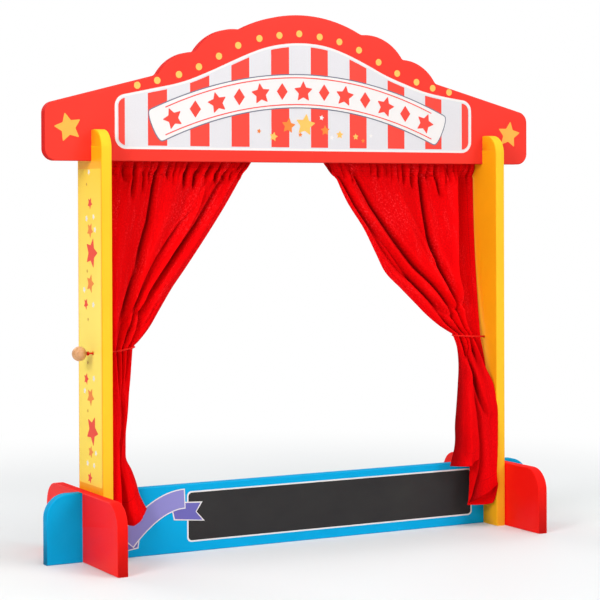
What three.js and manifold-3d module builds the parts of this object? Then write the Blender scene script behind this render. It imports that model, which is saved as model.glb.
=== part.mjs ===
// A child's tabletop puppet theatre. Two posts and two feet halve over a long front board,
// a crowned header halves over the post tops, and a pair of gathered curtains hangs from a
// dowel behind the header, each tied back to its post by a beaded elastic cord.
// Millimetres, +Z up. The audience sees the -Y side, and X runs along the stage.

import * as THREE from "three";
import { mergeVertices } from "three/addons/utils/BufferGeometryUtils.js";
import Module from "manifold-3d";

const wasm = await Module();
wasm.setup();

// Boards
const BOARD = 18; // every flat piece is cut from board of this thickness
const LONG_BOARD = 940; // length of the header and of the front board
const BOARD_OVERHANG = 80; // how far both run past the outer faces of the posts
const ARRIS = 1.5; // softened edge of a painted board
const FIT = 0.3; // play between painted pieces that slot together
const OVERRUN = 5; // how far a cutter runs past the face that it opens

// Posts, feet and front board
const POST_DEPTH = 105;
const POST_HEIGHT = 704;
const POST_CORNER = 32;
const FOOT_DEPTH = 312;
const BASE_HEIGHT = 113; // feet and front board finish level
const BASE_CORNER = 38;

// Header: shares of half its length and of its height, from the end to the crown
const HEADER_HEIGHT = 254;
const HEADER_LAP = 51; // how far the post tops reach up the header
const HEADER_CORNER = 20;
const CREST_EASE = 4; // rounding where two scallops meet
const CREST_SHARES = [
  [1, 0.362],
  [0.578, 0.565],
  [0.432, 0.724],
  [0.253, 0.884],
];
const SCALLOP_BULGE_SHARES = [0.136, 0.145];

// Curtain rod
const ROD_DIAMETER = 12;
const ROD_BEHIND_HEADER = 9; // room for the gathered cloth
const ROD_ABOVE_EDGE = 7; // over the header's lower edge, so the header hides it
const SOCKET_DEPTH = 8;

// Tie-backs
const TIE_HEIGHT = 340;
const TIE_FORWARD = 12; // from the middle of the post towards the audience
const TIE_HOLE = 6.5;
const CORD = 2.5;
const CORD_SIDES = 8;
const CORD_STEPS = 64;
const BEAD = 24;
const BEAD_BORE = 6;
const BEAD_BORE_DEPTH = 15;
const LEFT_BEAD_STANDOFF = 12; // free cord between the bead and the post
const KNOT = 8;
const KNOT_LENGTH = 5;
const KNOT_TAIL_LENGTH = 12;
const KNOT_PROFILE_SHARES = [
  [0, 0.6],
  [0.15, 0.9],
  [0.4, 1],
  [0.55, 0.82],
  [0.7, 0.94],
  [0.9, 0.8],
  [1, 0.45],
];

// Cord routes, drawn on the +X side: from the knot through the post, round the gathered curtain
// and back. Places are counted outwards, backwards and upwards from the middle of the tie-back
// hole's mouth in the post's outer face.
const LEFT_CORD_ROUTE = [
  [6.4, -1.4, 0],
  [-8, -1.4, 0],
  [-18, -1.5, 0],
  [-23.4, -4.8, 0.4],
  [-29, -9.6, 1.2],
  [-37, -14.3, 2.6],
  [-48, -16.8, 4.4],
  [-59, -14.4, 6],
  [-68.8, -8.3, 7.4],
  [-72.2, 0, 8],
  [-68.8, 8.3, 7.4],
  [-59, 14.4, 6],
  [-48, 16.8, 4.4],
  [-37, 14.3, 2.6],
  [-29, 9.6, 1.2],
  [-23.4, 4.8, 0.4],
  [-18, 1.5, 0],
  [-8, 1.4, 0],
  [6.4, 1.4, 0],
];
const RIGHT_CORD_ROUTE = [
  [0, -1.4, 0],
  [-8, -1.4, 0],
  [-18, -1.5, 0],
  [-23.4, -4.8, 0.2],
  [-29.5, -9.6, 0.6],
  [-39, -14.6, 1.2],
  [-52, -16.9, 2],
  [-68, -15.3, 3],
  [-79.8, -9.4, 3.7],
  [-84, 0, 4],
  [-79.8, 9.4, 3.7],
  [-68, 15.3, 3],
  [-52, 16.9, 2],
  [-39, 14.6, 1.2],
  [-29.5, 9.6, 0.6],
  [-23.4, 4.8, 0.2],
  [-18, 1.5, 0],
  [-8, 1.4, 0],
  [0, 1.4, 0],
];

// Curtains. A station is one level of the cloth, from the heading over the rod to the hem.
// Its edge places are shares: reach is from the post to the middle of the stage, forward is
// 0 at the rod, 1 at the tie-back and 2 at the post's front face, and down is 0 at the
// heading's top, 1 at the tie-back and 2 at the lowest hem.
const HEADING_TOP = 9.5; // over the middle of the rod
const HEM_HEIGHT = 38;
const CLOTH = 3;
const FOLDS = 5;
const FOLD_DEPTH = 10;
const COLUMNS_PER_FOLD = 6;
const HEADING_BULK = 21;
const TIED_BULK = 25;
const OUTER_EDGE_SHARES = [
  [0.004, 0, 0],
  [0.004, 0.08, 0.12],
  [0.004, 0.14, 0.33],
  [0.004, 0.28, 0.57],
  [0.01, 0.61, 0.82],
  [0.022, 1, 0.988],
  [0.022, 1, 1.012],
  [0.012, 1.35, 1.2],
  [0.005, 1.72, 1.45],
  [0.005, 1.82, 2],
];
const LEFT_LEADING_SHARES = [
  [0.774, 0, 0],
  [0.726, 0.08, 0.12],
  [0.602, 0.14, 0.33],
  [0.444, 0.28, 0.57],
  [0.25, 0.62, 0.855],
  [0.14, 1, 0.964],
  [0.14, 1, 0.988],
  [0.126, 1.07, 1.2],
  [0.106, 1.2, 1.52],
  [0.188, 1.5, 1.845],
];
const RIGHT_LEADING_SHARES = [
  [0.839, 0, 0],
  [0.79, 0.08, 0.12],
  [0.675, 0.14, 0.33],
  [0.54, 0.28, 0.57],
  [0.316, 0.65, 0.872],
  [0.172, 1, 0.976],
  [0.172, 1, 1],
  [0.158, 1.08, 1.2],
  [0.17, 1.22, 1.48],
  [0.2, 1.34, 1.775],
];
const FOLD_DEPTH_SHARES = [0.2, 0.25, 0.7, 0.9, 0.7, 0.2, 0.2, 0.7, 0.95, 1.05];
const TIED_BULK_SHARES = [0, 0, 0, 0, 0.3, 1, 1, 0.45, 0.1, 0];
const HEADING_BULK_SHARES = [0.7, 1, 0.62, 0]; // from the top down to the seam
const TIE_STATION = 5;

// Places that follow from the sizes above
const postFace = LONG_BOARD / 2 - BOARD_OVERHANG;
const stageHalf = postFace - BOARD;
const postCentre = postFace - BOARD / 2;
const footCentre = postFace + FIT + BOARD / 2;
const headerBase = POST_HEIGHT - HEADER_LAP;
const rodBack = BOARD / 2 + ROD_BEHIND_HEADER + ROD_DIAMETER / 2;
const rodHeight = headerBase + ROD_ABOVE_EDGE;
const slotWidth = BOARD + 2 * FIT;
const boreRim = Math.sqrt((BEAD / 2) ** 2 - (BEAD_BORE / 2) ** 2); // from the ball's middle

const CURVE_SEGMENTS = 10;
const ROUND_SEGMENTS = 32;

const paint = (color) =>
  new THREE.MeshStandardMaterial({ color, roughness: 0.35, metalness: 0 });
const RED_PAINT = paint(0xe8302a);
const YELLOW_PAINT = paint(0xfbc92f);
const BLUE_PAINT = paint(0x0f9bd8);
const BARE_WOOD = new THREE.MeshStandardMaterial({
  color: 0xd9a66c,
  roughness: 0.5,
  metalness: 0,
});
const RED_VELVET = new THREE.MeshStandardMaterial({
  color: 0xc40d10,
  roughness: 0.95,
  metalness: 0,
  side: THREE.DoubleSide,
});
const RED_ELASTIC = new THREE.MeshStandardMaterial({
  color: 0xd0281c,
  roughness: 0.8,
  metalness: 0,
});

// Solids and meshes

function solidOf(geometry) {
  const bare = geometry.clone();
  bare.deleteAttribute("normal");
  bare.deleteAttribute("uv");
  const merged = mergeVertices(bare);
  return new wasm.Manifold(
    new wasm.Mesh({
      numProp: 3,
      vertProperties: merged.attributes.position.array,
      triVerts: new Uint32Array(merged.index.array),
    }),
  );
}

function geometryOf(solid) {
  const mesh = solid.getMesh();
  const geometry = new THREE.BufferGeometry();
  geometry.setAttribute("position", new THREE.BufferAttribute(mesh.vertProperties, 3));
  geometry.setIndex(new THREE.BufferAttribute(mesh.triVerts, 1));
  const faceted = geometry.toNonIndexed();
  faceted.computeVertexNormals();
  return faceted;
}

function named(name, geometry, material) {
  const mesh = new THREE.Mesh(geometry, material);
  mesh.name = name;
  return mesh;
}

function boxSolid(width, height, depth, x, y) {
  return wasm.Manifold.cube([width, height, depth], true).translate([x, y, 0]);
}

function cylinderSolid(diameter, length, x, y, z) {
  const radius = diameter / 2;
  return wasm.Manifold.cylinder(length, radius, radius, ROUND_SEGMENTS, true).translate([x, y, z]);
}

// Board outlines. A board is drawn in its own plane, with its thickness along local Z.

function roundCorner(shape, before, corner, after, radius) {
  const back = before.clone().sub(corner).normalize();
  const ahead = after.clone().sub(corner).normalize();
  const halfAngle = Math.acos(back.dot(ahead)) / 2;
  const reach = radius / Math.tan(halfAngle);
  const inward = back.clone().add(ahead).normalize();
  const centre = corner.clone().addScaledVector(inward, radius / Math.sin(halfAngle));
  const start = corner.clone().addScaledVector(back, reach).sub(centre);
  const end = corner.clone().addScaledVector(ahead, reach).sub(centre);
  shape.absarc(centre.x, centre.y, radius, start.angle(), end.angle(), false);
}

function archedTopOutline(length, height, radius) {
  const half = length / 2;
  const foot = [new THREE.Vector2(-half, 0), new THREE.Vector2(half, 0)];
  const top = [new THREE.Vector2(half, height), new THREE.Vector2(-half, height)];
  const shape = new THREE.Shape();
  shape.moveTo(foot[0].x, foot[0].y);
  shape.lineTo(foot[1].x, foot[1].y);
  roundCorner(shape, foot[1], top[0], top[1], radius);
  roundCorner(shape, top[0], top[1], foot[0], radius);
  return shape;
}

function towards(from, to, distance) {
  return to.clone().sub(from).setLength(distance).add(from);
}

// One scallop of the header's crest: an arc that swells upwards and stops short of its ends
// by the easing, after a curve that rounds the crest point where it starts
function addScallop(shape, from, to, bulgeShare) {
  const chord = to.clone().sub(from);
  const sagitta = bulgeShare * chord.length();
  const radius = (chord.lengthSq() / 4 + sagitta ** 2) / (2 * sagitta);
  const inward = new THREE.Vector2(-chord.y, chord.x).normalize();
  const centre = from.clone().lerp(to, 0.5).addScaledVector(inward, radius - sagitta);
  const start = from.clone().sub(centre).angle() + CREST_EASE / radius;
  const end = to.clone().sub(centre).angle() - CREST_EASE / radius;
  const startX = centre.x + radius * Math.cos(start);
  const startY = centre.y + radius * Math.sin(start);
  shape.quadraticCurveTo(from.x, from.y, startX, startY);
  shape.absarc(centre.x, centre.y, radius, start, end, false);
}

function headerOutline() {
  const half = LONG_BOARD / 2;
  const place = ([x, y]) => new THREE.Vector2(x * half, y * HEADER_HEIGHT);
  const mirrored = (point) => new THREE.Vector2(-point.x, point.y);
  const [shoulder, ...rightCrest] = CREST_SHARES.map(place);
  const leftCrest = rightCrest.map(mirrored).reverse();
  const crest = [...rightCrest, ...leftCrest];
  const archFoot = rightCrest.at(-1);
  const archBulgeShare = (HEADER_HEIGHT - archFoot.y) / (2 * archFoot.x);
  const bulges = [
    ...SCALLOP_BULGE_SHARES,
    archBulgeShare,
    ...SCALLOP_BULGE_SHARES.toReversed(),
  ];
  const lowerRight = new THREE.Vector2(half, 0);
  const lowerLeft = mirrored(lowerRight);
  const leftShoulder = mirrored(shoulder);

  const shape = new THREE.Shape();
  roundCorner(shape, leftShoulder, lowerLeft, lowerRight, HEADER_CORNER);
  roundCorner(shape, lowerLeft, lowerRight, shoulder, HEADER_CORNER);
  roundCorner(shape, lowerRight, shoulder, crest[0], HEADER_CORNER);
  const slopeEnd = towards(crest[0], shoulder, CREST_EASE);
  shape.lineTo(slopeEnd.x, slopeEnd.y);
  bulges.forEach((bulge, i) => addScallop(shape, crest[i], crest[i + 1], bulge));
  const slopeStart = towards(crest.at(-1), leftShoulder, CREST_EASE);
  shape.quadraticCurveTo(crest.at(-1).x, crest.at(-1).y, slopeStart.x, slopeStart.y);
  roundCorner(shape, crest.at(-1), leftShoulder, lowerLeft, HEADER_CORNER);
  return shape;
}

// A painted board: its outline with both faces' edges softened, as a solid to cut slots in
function boardSolid(outline) {
  const depth = BOARD - 2 * ARRIS;
  const geometry = new THREE.ExtrudeGeometry(outline, {
    depth,
    curveSegments: CURVE_SEGMENTS,
    bevelThickness: ARRIS,
    bevelSize: ARRIS,
    bevelOffset: -ARRIS,
    bevelSegments: 2,
  });
  geometry.translate(0, 0, -depth / 2);
  return solidOf(geometry);
}

// A half-lap slot through the board's thickness, from one height to another
function slotSolid(width, x, from, to) {
  return boxSolid(width, to - from, BOARD + 2 * OVERRUN, x, (from + to) / 2);
}

function headerBoard() {
  let solid = boardSolid(headerOutline());
  for (const x of [-postCentre, postCentre])
    solid = solid.subtract(slotSolid(slotWidth, x, -OVERRUN, HEADER_LAP / 2 + FIT));
  const mesh = named("header_board", geometryOf(solid), RED_PAINT);
  mesh.rotation.x = Math.PI / 2;
  mesh.position.z = headerBase;
  return mesh;
}

function frontBoard() {
  const inner = stageHalf - FIT;
  const outer = footCentre + BOARD / 2 + FIT;
  let solid = boardSolid(archedTopOutline(LONG_BOARD, BASE_HEIGHT, BASE_CORNER));
  for (const side of [-1, 1]) {
    const x = (side * (inner + outer)) / 2;
    solid = solid.subtract(
      slotSolid(outer - inner, x, BASE_HEIGHT / 2, BASE_HEIGHT + OVERRUN),
    );
  }
  const mesh = named("front_board", geometryOf(solid), BLUE_PAINT);
  mesh.rotation.x = Math.PI / 2;
  return mesh;
}

// Stands a board drawn in its own plane across the stage's length, facing along X
function standAcross(mesh, x) {
  mesh.rotation.set(Math.PI / 2, 0, Math.PI / 2, "ZYX");
  mesh.position.x = x;
  return mesh;
}

// The dowel's blind socket opens in the face towards the middle of the stage
function post(name) {
  const half = BOARD / 2;
  const socketSpan = SOCKET_DEPTH + OVERRUN;
  const socketMiddle = SOCKET_DEPTH - socketSpan / 2 - half;
  const socketDiameter = ROD_DIAMETER + 2 * FIT;
  const topSlot = POST_HEIGHT - HEADER_LAP / 2;
  const solid = boardSolid(archedTopOutline(POST_DEPTH, POST_HEIGHT, POST_CORNER))
    .subtract(slotSolid(slotWidth, 0, -OVERRUN, BASE_HEIGHT / 2 + FIT))
    .subtract(slotSolid(slotWidth, 0, topSlot, POST_HEIGHT + OVERRUN))
    .subtract(cylinderSolid(socketDiameter, socketSpan, rodBack, rodHeight, socketMiddle))
    .subtract(cylinderSolid(TIE_HOLE, BOARD + 2 * OVERRUN, -TIE_FORWARD, TIE_HEIGHT, 0));
  return standAcross(named(name, geometryOf(solid), YELLOW_PAINT), postCentre);
}

function foot(name) {
  const solid = boardSolid(
    archedTopOutline(FOOT_DEPTH, BASE_HEIGHT, BASE_CORNER),
  ).subtract(slotSolid(slotWidth, 0, -OVERRUN, BASE_HEIGHT / 2 + FIT));
  return standAcross(named(name, geometryOf(solid), RED_PAINT), footCentre);
}

function curtainRod() {
  const length = 2 * (stageHalf + SOCKET_DEPTH - FIT);
  const radius = ROD_DIAMETER / 2;
  const geometry = new THREE.CylinderGeometry(radius, radius, length, ROUND_SEGMENTS);
  const mesh = named("curtain_rod", geometry, BARE_WOOD);
  mesh.rotation.z = Math.PI / 2;
  mesh.position.set(0, rodBack, rodHeight);
  return mesh;
}

// Tie-back: a ball with a blind bore, the knot whose tail fills the bore, and the cord. The left
// knot shows between ball and post. The right loop is tight: its knot is drawn into the bore,
// and the ball lies against the post.

function bead(name, tie) {
  const radius = BEAD / 2;
  const ball = solidOf(new THREE.SphereGeometry(radius, ROUND_SEGMENTS, ROUND_SEGMENTS / 2));
  const boreSpan = BEAD_BORE_DEPTH + OVERRUN;
  const boreMiddle = BEAD_BORE_DEPTH - boreSpan / 2 - radius;
  const solid = ball.subtract(cylinderSolid(BEAD_BORE, boreSpan, 0, 0, boreMiddle));
  const mesh = named(name, geometryOf(solid), BARE_WOOD);
  mesh.rotation.y = Math.PI / 2;
  mesh.position.set(tie.beadCentre, -TIE_FORWARD, TIE_HEIGHT);
  return mesh;
}

function knot(name, tie) {
  const tailRadius = BEAD_BORE / 2 - FIT;
  const outside = KNOT_TAIL_LENGTH + BEAD / 2 - boreRim + FIT;
  const bulgeStart = tie.knotInBore ? KNOT_TAIL_LENGTH - KNOT_LENGTH : outside;
  const bulge = tie.knotInBore ? tailRadius : KNOT / 2;
  const profile = [
    new THREE.Vector2(0, 0),
    new THREE.Vector2(tailRadius, 0),
    new THREE.Vector2(tailRadius, Math.min(bulgeStart, KNOT_TAIL_LENGTH)),
  ];
  for (const [along, out] of KNOT_PROFILE_SHARES)
    profile.push(new THREE.Vector2(out * bulge, bulgeStart + along * KNOT_LENGTH));
  profile.push(new THREE.Vector2(0, bulgeStart + KNOT_LENGTH));
  const geometry = new THREE.LatheGeometry(profile, ROUND_SEGMENTS / 2);
  const mesh = named(name, geometry, RED_ELASTIC);
  mesh.rotation.z = Math.PI / 2;
  const tailEnd = tie.beadCentre - boreRim + KNOT_TAIL_LENGTH;
  mesh.position.set(tailEnd, -TIE_FORWARD, TIE_HEIGHT);
  return mesh;
}

function cord(name, route) {
  const section = new THREE.Shape();
  for (let i = 0; i < CORD_SIDES; i++) {
    const angle = (2 * Math.PI * i) / CORD_SIDES;
    const x = (CORD / 2) * Math.cos(angle);
    const y = (CORD / 2) * Math.sin(angle);
    if (i === 0) section.moveTo(x, y);
    else section.lineTo(x, y);
  }
  const points = route.map((place) => new THREE.Vector3(...place));
  const geometry = new THREE.ExtrudeGeometry(section, {
    steps: CORD_STEPS,
    extrudePath: new THREE.CatmullRomCurve3(points),
  });
  const mesh = named(name, geometry, RED_ELASTIC);
  mesh.position.set(postFace, -TIE_FORWARD, TIE_HEIGHT);
  return mesh;
}

// Curtain: the cloth between an outer and a leading edge, pleated along lines that run from
// the heading to the hem, and bored where the rod passes through the heading

function edgePoint([reach, forward, down]) {
  const upper = Math.min(forward, 1);
  const lower = Math.max(forward - 1, 0);
  const headingTop = rodHeight + HEADING_TOP;
  const toTie = Math.min(down, 1) * (headingTop - TIE_HEIGHT);
  const toHem = Math.max(down - 1, 0) * (TIE_HEIGHT - HEM_HEIGHT);
  return new THREE.Vector3(
    stageHalf * (1 - reach),
    rodBack - upper * (rodBack + TIE_FORWARD) - lower * (POST_DEPTH / 2 - TIE_FORWARD),
    headingTop - toTie - toHem,
  );
}

function edgeCurve(shares) {
  return new THREE.CatmullRomCurve3(shares.map(edgePoint));
}

function atStation(values, station) {
  const low = Math.min(Math.floor(station), values.length - 2);
  return THREE.MathUtils.lerp(values[low], values[low + 1], station - low);
}

// An oval's half depth across the bundle that the cord gathers, 0 at its two sides
function ovalShare(across) {
  return Math.sqrt(1 - (2 * across - 1) ** 2);
}

function foldSwing(station, across) {
  const flattened = atStation(TIED_BULK_SHARES, station) * (1 - ovalShare(across));
  return FOLD_DEPTH * atStation(FOLD_DEPTH_SHARES, station) * (1 - flattened);
}

function clothDepth(station, across) {
  const headingSteps = HEADING_BULK_SHARES.length - 1;
  const tied = TIED_BULK * atStation(TIED_BULK_SHARES, station) * ovalShare(across);
  if (station >= 1) return Math.max(CLOTH, tied);
  return Math.max(CLOTH, HEADING_BULK * atStation(HEADING_BULK_SHARES, station * headingSteps));
}

// The heading has a row for each of its bulk shares. The stretch under the seam and the tied
// waist are straight, and every other stretch has one row halfway.
function stationRows() {
  const rows = HEADING_BULK_SHARES.map((_, i) => i / (HEADING_BULK_SHARES.length - 1));
  for (let station = 1; station < FOLD_DEPTH_SHARES.length - 1; station++) {
    if (station !== 1 && station !== TIE_STATION) rows.push(station + 0.5);
    rows.push(station + 1);
  }
  return rows;
}

function clothSurface(leadingShares) {
  const outerEdge = edgeCurve(OUTER_EDGE_SHARES);
  const leadingEdge = edgeCurve(leadingShares);
  const stations = OUTER_EDGE_SHARES.length - 1;
  const columns = FOLDS * COLUMNS_PER_FOLD;
  const rows = stationRows();
  const positions = [];
  for (const station of rows)
    for (const face of [-1, 1])
      for (let column = 0; column <= columns; column++) {
        const across = column / columns;
        const outer = outerEdge.getPoint(station / stations);
        const place = outer.lerp(leadingEdge.getPoint(station / stations), across);
        const wave = foldSwing(station, across) * Math.sin(2 * Math.PI * FOLDS * across);
        place.y += wave + (face * clothDepth(station, across)) / 2;
        positions.push(place.x, place.y, place.z);
      }
  return { positions, rows: rows.length, columns };
}

function clothSolid(leadingShares) {
  const { positions, rows, columns } = clothSurface(leadingShares);
  const vertex = (row, face, column) => (2 * row + face) * (columns + 1) + column;
  const index = [];
  const addQuad = (a, b, c, d) => index.push(a, b, c, a, c, d);
  for (let row = 0; row < rows - 1; row++) {
    for (let column = 0; column < columns; column++) {
      const next = column + 1;
      addQuad(
        vertex(row, 0, column),
        vertex(row, 0, next),
        vertex(row + 1, 0, next),
        vertex(row + 1, 0, column),
      );
      addQuad(
        vertex(row, 1, column),
        vertex(row + 1, 1, column),
        vertex(row + 1, 1, next),
        vertex(row, 1, next),
      );
    }
    addQuad(vertex(row, 0, 0), vertex(row + 1, 0, 0), vertex(row + 1, 1, 0), vertex(row, 1, 0));
    addQuad(
      vertex(row, 0, columns),
      vertex(row, 1, columns),
      vertex(row + 1, 1, columns),
      vertex(row + 1, 0, columns),
    );
  }
  for (let column = 0; column < columns; column++) {
    const next = column + 1;
    const last = rows - 1;
    addQuad(vertex(0, 0, column), vertex(0, 1, column), vertex(0, 1, next), vertex(0, 0, next));
    addQuad(
      vertex(last, 0, column),
      vertex(last, 0, next),
      vertex(last, 1, next),
      vertex(last, 1, column),
    );
  }
  const geometry = new THREE.BufferGeometry();
  geometry.setAttribute("position", new THREE.Float32BufferAttribute(positions, 3));
  geometry.setIndex(index);
  return solidOf(geometry);
}

function curtain(name, leadingShares) {
  const radius = ROD_DIAMETER / 2 + 2 * FIT;
  const rodBore = wasm.Manifold.cylinder(LONG_BOARD, radius, radius, ROUND_SEGMENTS / 2, true)
    .rotate([0, 90, 0])
    .translate([0, rodBack, rodHeight]);
  return named(name, geometryOf(clothSolid(leadingShares).subtract(rodBore)), RED_VELVET);
}

// Everything on one side of the stage, drawn on the +X side and mirrored for the left

function sideOfStage(name, mirror, leadingShares, tie) {
  const side = new THREE.Group();
  side.scale.x = mirror;
  side.add(
    post(`${name}_post`),
    foot(`${name}_foot`),
    curtain(`${name}_curtain`, leadingShares),
    cord(`${name}_tie_cord`, tie.cordRoute),
    bead(`${name}_tie_bead`, tie),
    knot(`${name}_cord_knot`, tie),
  );
  return side;
}

const LEFT_TIE = {
  cordRoute: LEFT_CORD_ROUTE,
  beadCentre: postFace + LEFT_BEAD_STANDOFF + BEAD / 2,
  knotInBore: false,
};
const RIGHT_TIE = {
  cordRoute: RIGHT_CORD_ROUTE,
  beadCentre: postFace + FIT + boreRim,
  knotInBore: true,
};

const theatre = new THREE.Group();
theatre.add(
  headerBoard(),
  frontBoard(),
  curtainRod(),
  sideOfStage("left", -1, LEFT_LEADING_SHARES, LEFT_TIE),
  sideOfStage("right", 1, RIGHT_LEADING_SHARES, RIGHT_TIE),
);

export default theatre;
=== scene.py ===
# A child's puppet theatre: slotted painted boards, a printed header, and velvet curtains on a
# dowel, tied back by beaded elastic loops. Metres, +Z up, and the audience sees the -Y side.
# Each section makes one piece, or one group of like pieces, in the order of putting it together.

import bisect
import functools
import math
import random
import bpy
from mathutils import Euler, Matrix, Quaternion, Vector, noise


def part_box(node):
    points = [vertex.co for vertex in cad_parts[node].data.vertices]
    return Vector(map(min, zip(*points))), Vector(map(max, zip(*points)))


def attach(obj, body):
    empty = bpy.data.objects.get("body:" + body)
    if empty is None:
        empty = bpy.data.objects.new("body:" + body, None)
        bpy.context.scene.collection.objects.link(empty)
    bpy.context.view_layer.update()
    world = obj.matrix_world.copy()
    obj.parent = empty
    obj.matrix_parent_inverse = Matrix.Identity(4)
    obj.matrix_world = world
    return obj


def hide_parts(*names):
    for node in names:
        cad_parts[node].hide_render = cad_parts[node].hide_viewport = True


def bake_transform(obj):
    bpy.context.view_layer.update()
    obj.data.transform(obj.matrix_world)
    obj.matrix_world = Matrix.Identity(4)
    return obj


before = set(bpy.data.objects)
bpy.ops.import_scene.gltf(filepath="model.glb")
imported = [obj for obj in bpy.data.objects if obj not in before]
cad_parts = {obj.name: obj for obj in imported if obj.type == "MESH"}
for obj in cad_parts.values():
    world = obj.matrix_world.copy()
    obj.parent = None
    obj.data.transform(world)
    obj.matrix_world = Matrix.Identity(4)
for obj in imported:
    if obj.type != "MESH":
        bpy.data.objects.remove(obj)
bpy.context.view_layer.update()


# The viewer stands well to the left of the stage, a little over half its height, with a long
# lens. The small shift keeps the posts upright in the picture.
TILT, TURN, ROLL = -0.601, -28.259, -0.209
bpy.ops.object.camera_add(location=(-1.5376, -2.8606, 0.5794))
camera = bpy.context.object
camera.name = "viewer"
camera.rotation_mode = "QUATERNION"
level_view = Euler((math.radians(90 + TILT), 0, math.radians(TURN))).to_quaternion()
camera.rotation_quaternion = level_view @ Quaternion((0, 0, 1), math.radians(ROLL))
camera.data.lens = 112.64
camera.data.sensor_width = 36
camera.data.shift_x, camera.data.shift_y = -0.0003, -0.125
camera.data.clip_end = 60
bpy.context.scene.camera = camera


# A plain studio: a white paper sweep, and soft round lamps. One stands at the left like a
# window, and the others are in front, overhead, behind and at the right.

def linear(hex_colour):
    def channel(value):
        return value / 12.92 if value <= 0.04045 else ((value + 0.055) / 1.055) ** 2.4
    values = [int(hex_colour[i:i + 2], 16) / 255 for i in (1, 3, 5)]
    return (*[channel(value) for value in values], 1)


# Adds a node. Each socket gets a plain value or a link from another socket, and a node given
# there stands for its first output. stops are the (place, colour) pairs of a colour ramp.
def add_node(tree, kind, sockets=None, stops=(), **settings):
    made = tree.nodes.new("ShaderNode" + kind)
    for key, value in settings.items():
        setattr(made, key, value)
    for key, value in (sockets or {}).items():
        if isinstance(value, bpy.types.Node):
            value = value.outputs[0]
        if isinstance(value, bpy.types.NodeSocket):
            tree.links.new(value, made.inputs[key])
        else:
            made.inputs[key].default_value = value
    for i, (place, hex_colour) in enumerate(stops):
        ramp = made.color_ramp.elements
        stop = ramp[i] if i < 2 else ramp.new(place)
        stop.position, stop.color = place, linear(hex_colour)
    return made


# Empties the nodes of a new material or world, and gives the function that adds to them
def node_adder(owner):
    owner.use_nodes = True
    owner.node_tree.nodes.clear()
    return functools.partial(add_node, owner.node_tree)


# finish is a function that adds the nodes of a finish and returns its shader
def made_material(name, finish, *details):
    material = bpy.data.materials.new(name)
    add = node_adder(material)
    add("OutputMaterial", {"Surface": finish(add, *details)})
    return material


# The camera, mirrors and clear things see the paper as plain white, whatever light is on it
def seen_directly(add):
    path = add("LightPath")
    camera_or_mirror = add("Math", {0: path.outputs["Is Camera Ray"],
        1: path.outputs["Is Glossy Ray"]}, operation="MAXIMUM")
    return add("Math", {0: camera_or_mirror, 1: path.outputs["Is Transmission Ray"]},
        operation="MAXIMUM")


def white_surroundings(fill_strength):
    world = bpy.data.worlds.new("white_studio")
    bpy.context.scene.world = world
    add = node_adder(world)
    fill, paper = (add("Background", {"Color": linear("#FFFFFF"), "Strength": strength})
                   for strength in (fill_strength, 1))
    shown = add("MixShader", {0: seen_directly(add), 1: fill, 2: paper})
    add("OutputWorld", {"Surface": shown})


def studio_paper(add):
    paper = add("BsdfPrincipled", {"Base Color": linear("#DEE2E3"), "Roughness": 0.6,
        "Specular IOR Level": 0.3})
    white = add("Emission", {"Color": linear("#FFFFFF"), "Strength": 1.0})
    # The sheet fades to plain white away from the stand, so no horizon shows
    place = add("TexCoord").outputs["Object"]
    distance = add("VectorMath", {0: place}, operation="LENGTH")
    fade = add("MapRange", {"Value": distance.outputs["Value"], "From Min": 0.5,
        "From Max": 1.65, "To Min": 0.08}, interpolation_type="SMOOTHSTEP")
    shown = add("Math", {0: fade, 1: seen_directly(add)}, operation="MULTIPLY")
    return add("MixShader", {0: shown, 1: paper, 2: white})


bpy.context.scene.view_settings.view_transform = "Standard"
white_surroundings(0.26)
bpy.ops.mesh.primitive_circle_add(vertices=96, radius=7, fill_type="NGON")
floor = bpy.context.object
floor.name = "studio_floor"
floor.data.materials.append(made_material("studio_paper", studio_paper))

# Place, what the lamp is aimed at, its diameter in metres, and its watts
for lamp_name, location, aim, diameter, watts in (
        ("window_lamp", (-2.2, -1.3, 1.5), (0, 0, 0.45), 1.3, 41),
        ("front_lamp", (2.0, -3.1, 2.1), (0, 0, 0.45), 1.5, 48),
        ("ceiling_lamp", (0.1, -0.9, 3.3), (0, 0, 0.2), 1.9, 50),
        ("back_lamp", (-0.9, 3.6, 2.3), (0, 0, 0.5), 2.0, 46),
        ("side_lamp", (2.9, 0.9, 1.7), (0.3, 0, 0.4), 1.6, 18)):
    bpy.ops.object.light_add(type="AREA", location=location)
    lamp = bpy.context.object
    lamp.name = lamp_name
    lamp.data.shape = "DISK"
    lamp.data.size = diameter
    lamp.data.energy = watts
    lamp.rotation_mode = "QUATERNION"
    lamp.rotation_quaternion = (Vector(aim) - lamp.location).to_track_quat("-Z", "Y")


# Front board: a long blue board that stands on its edge. It is cut from 18 mm fibreboard,
# its edges are rounded over by hand sanding, and it is sprayed with satin enamel.

STAND = "stand"
HALF_BOARD = 0.009
ARRIS = 0.0015
# Most of a noise's values lie between these
NOISE_SPAN = {"From Min": 0.3, "From Max": 0.7}


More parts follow.
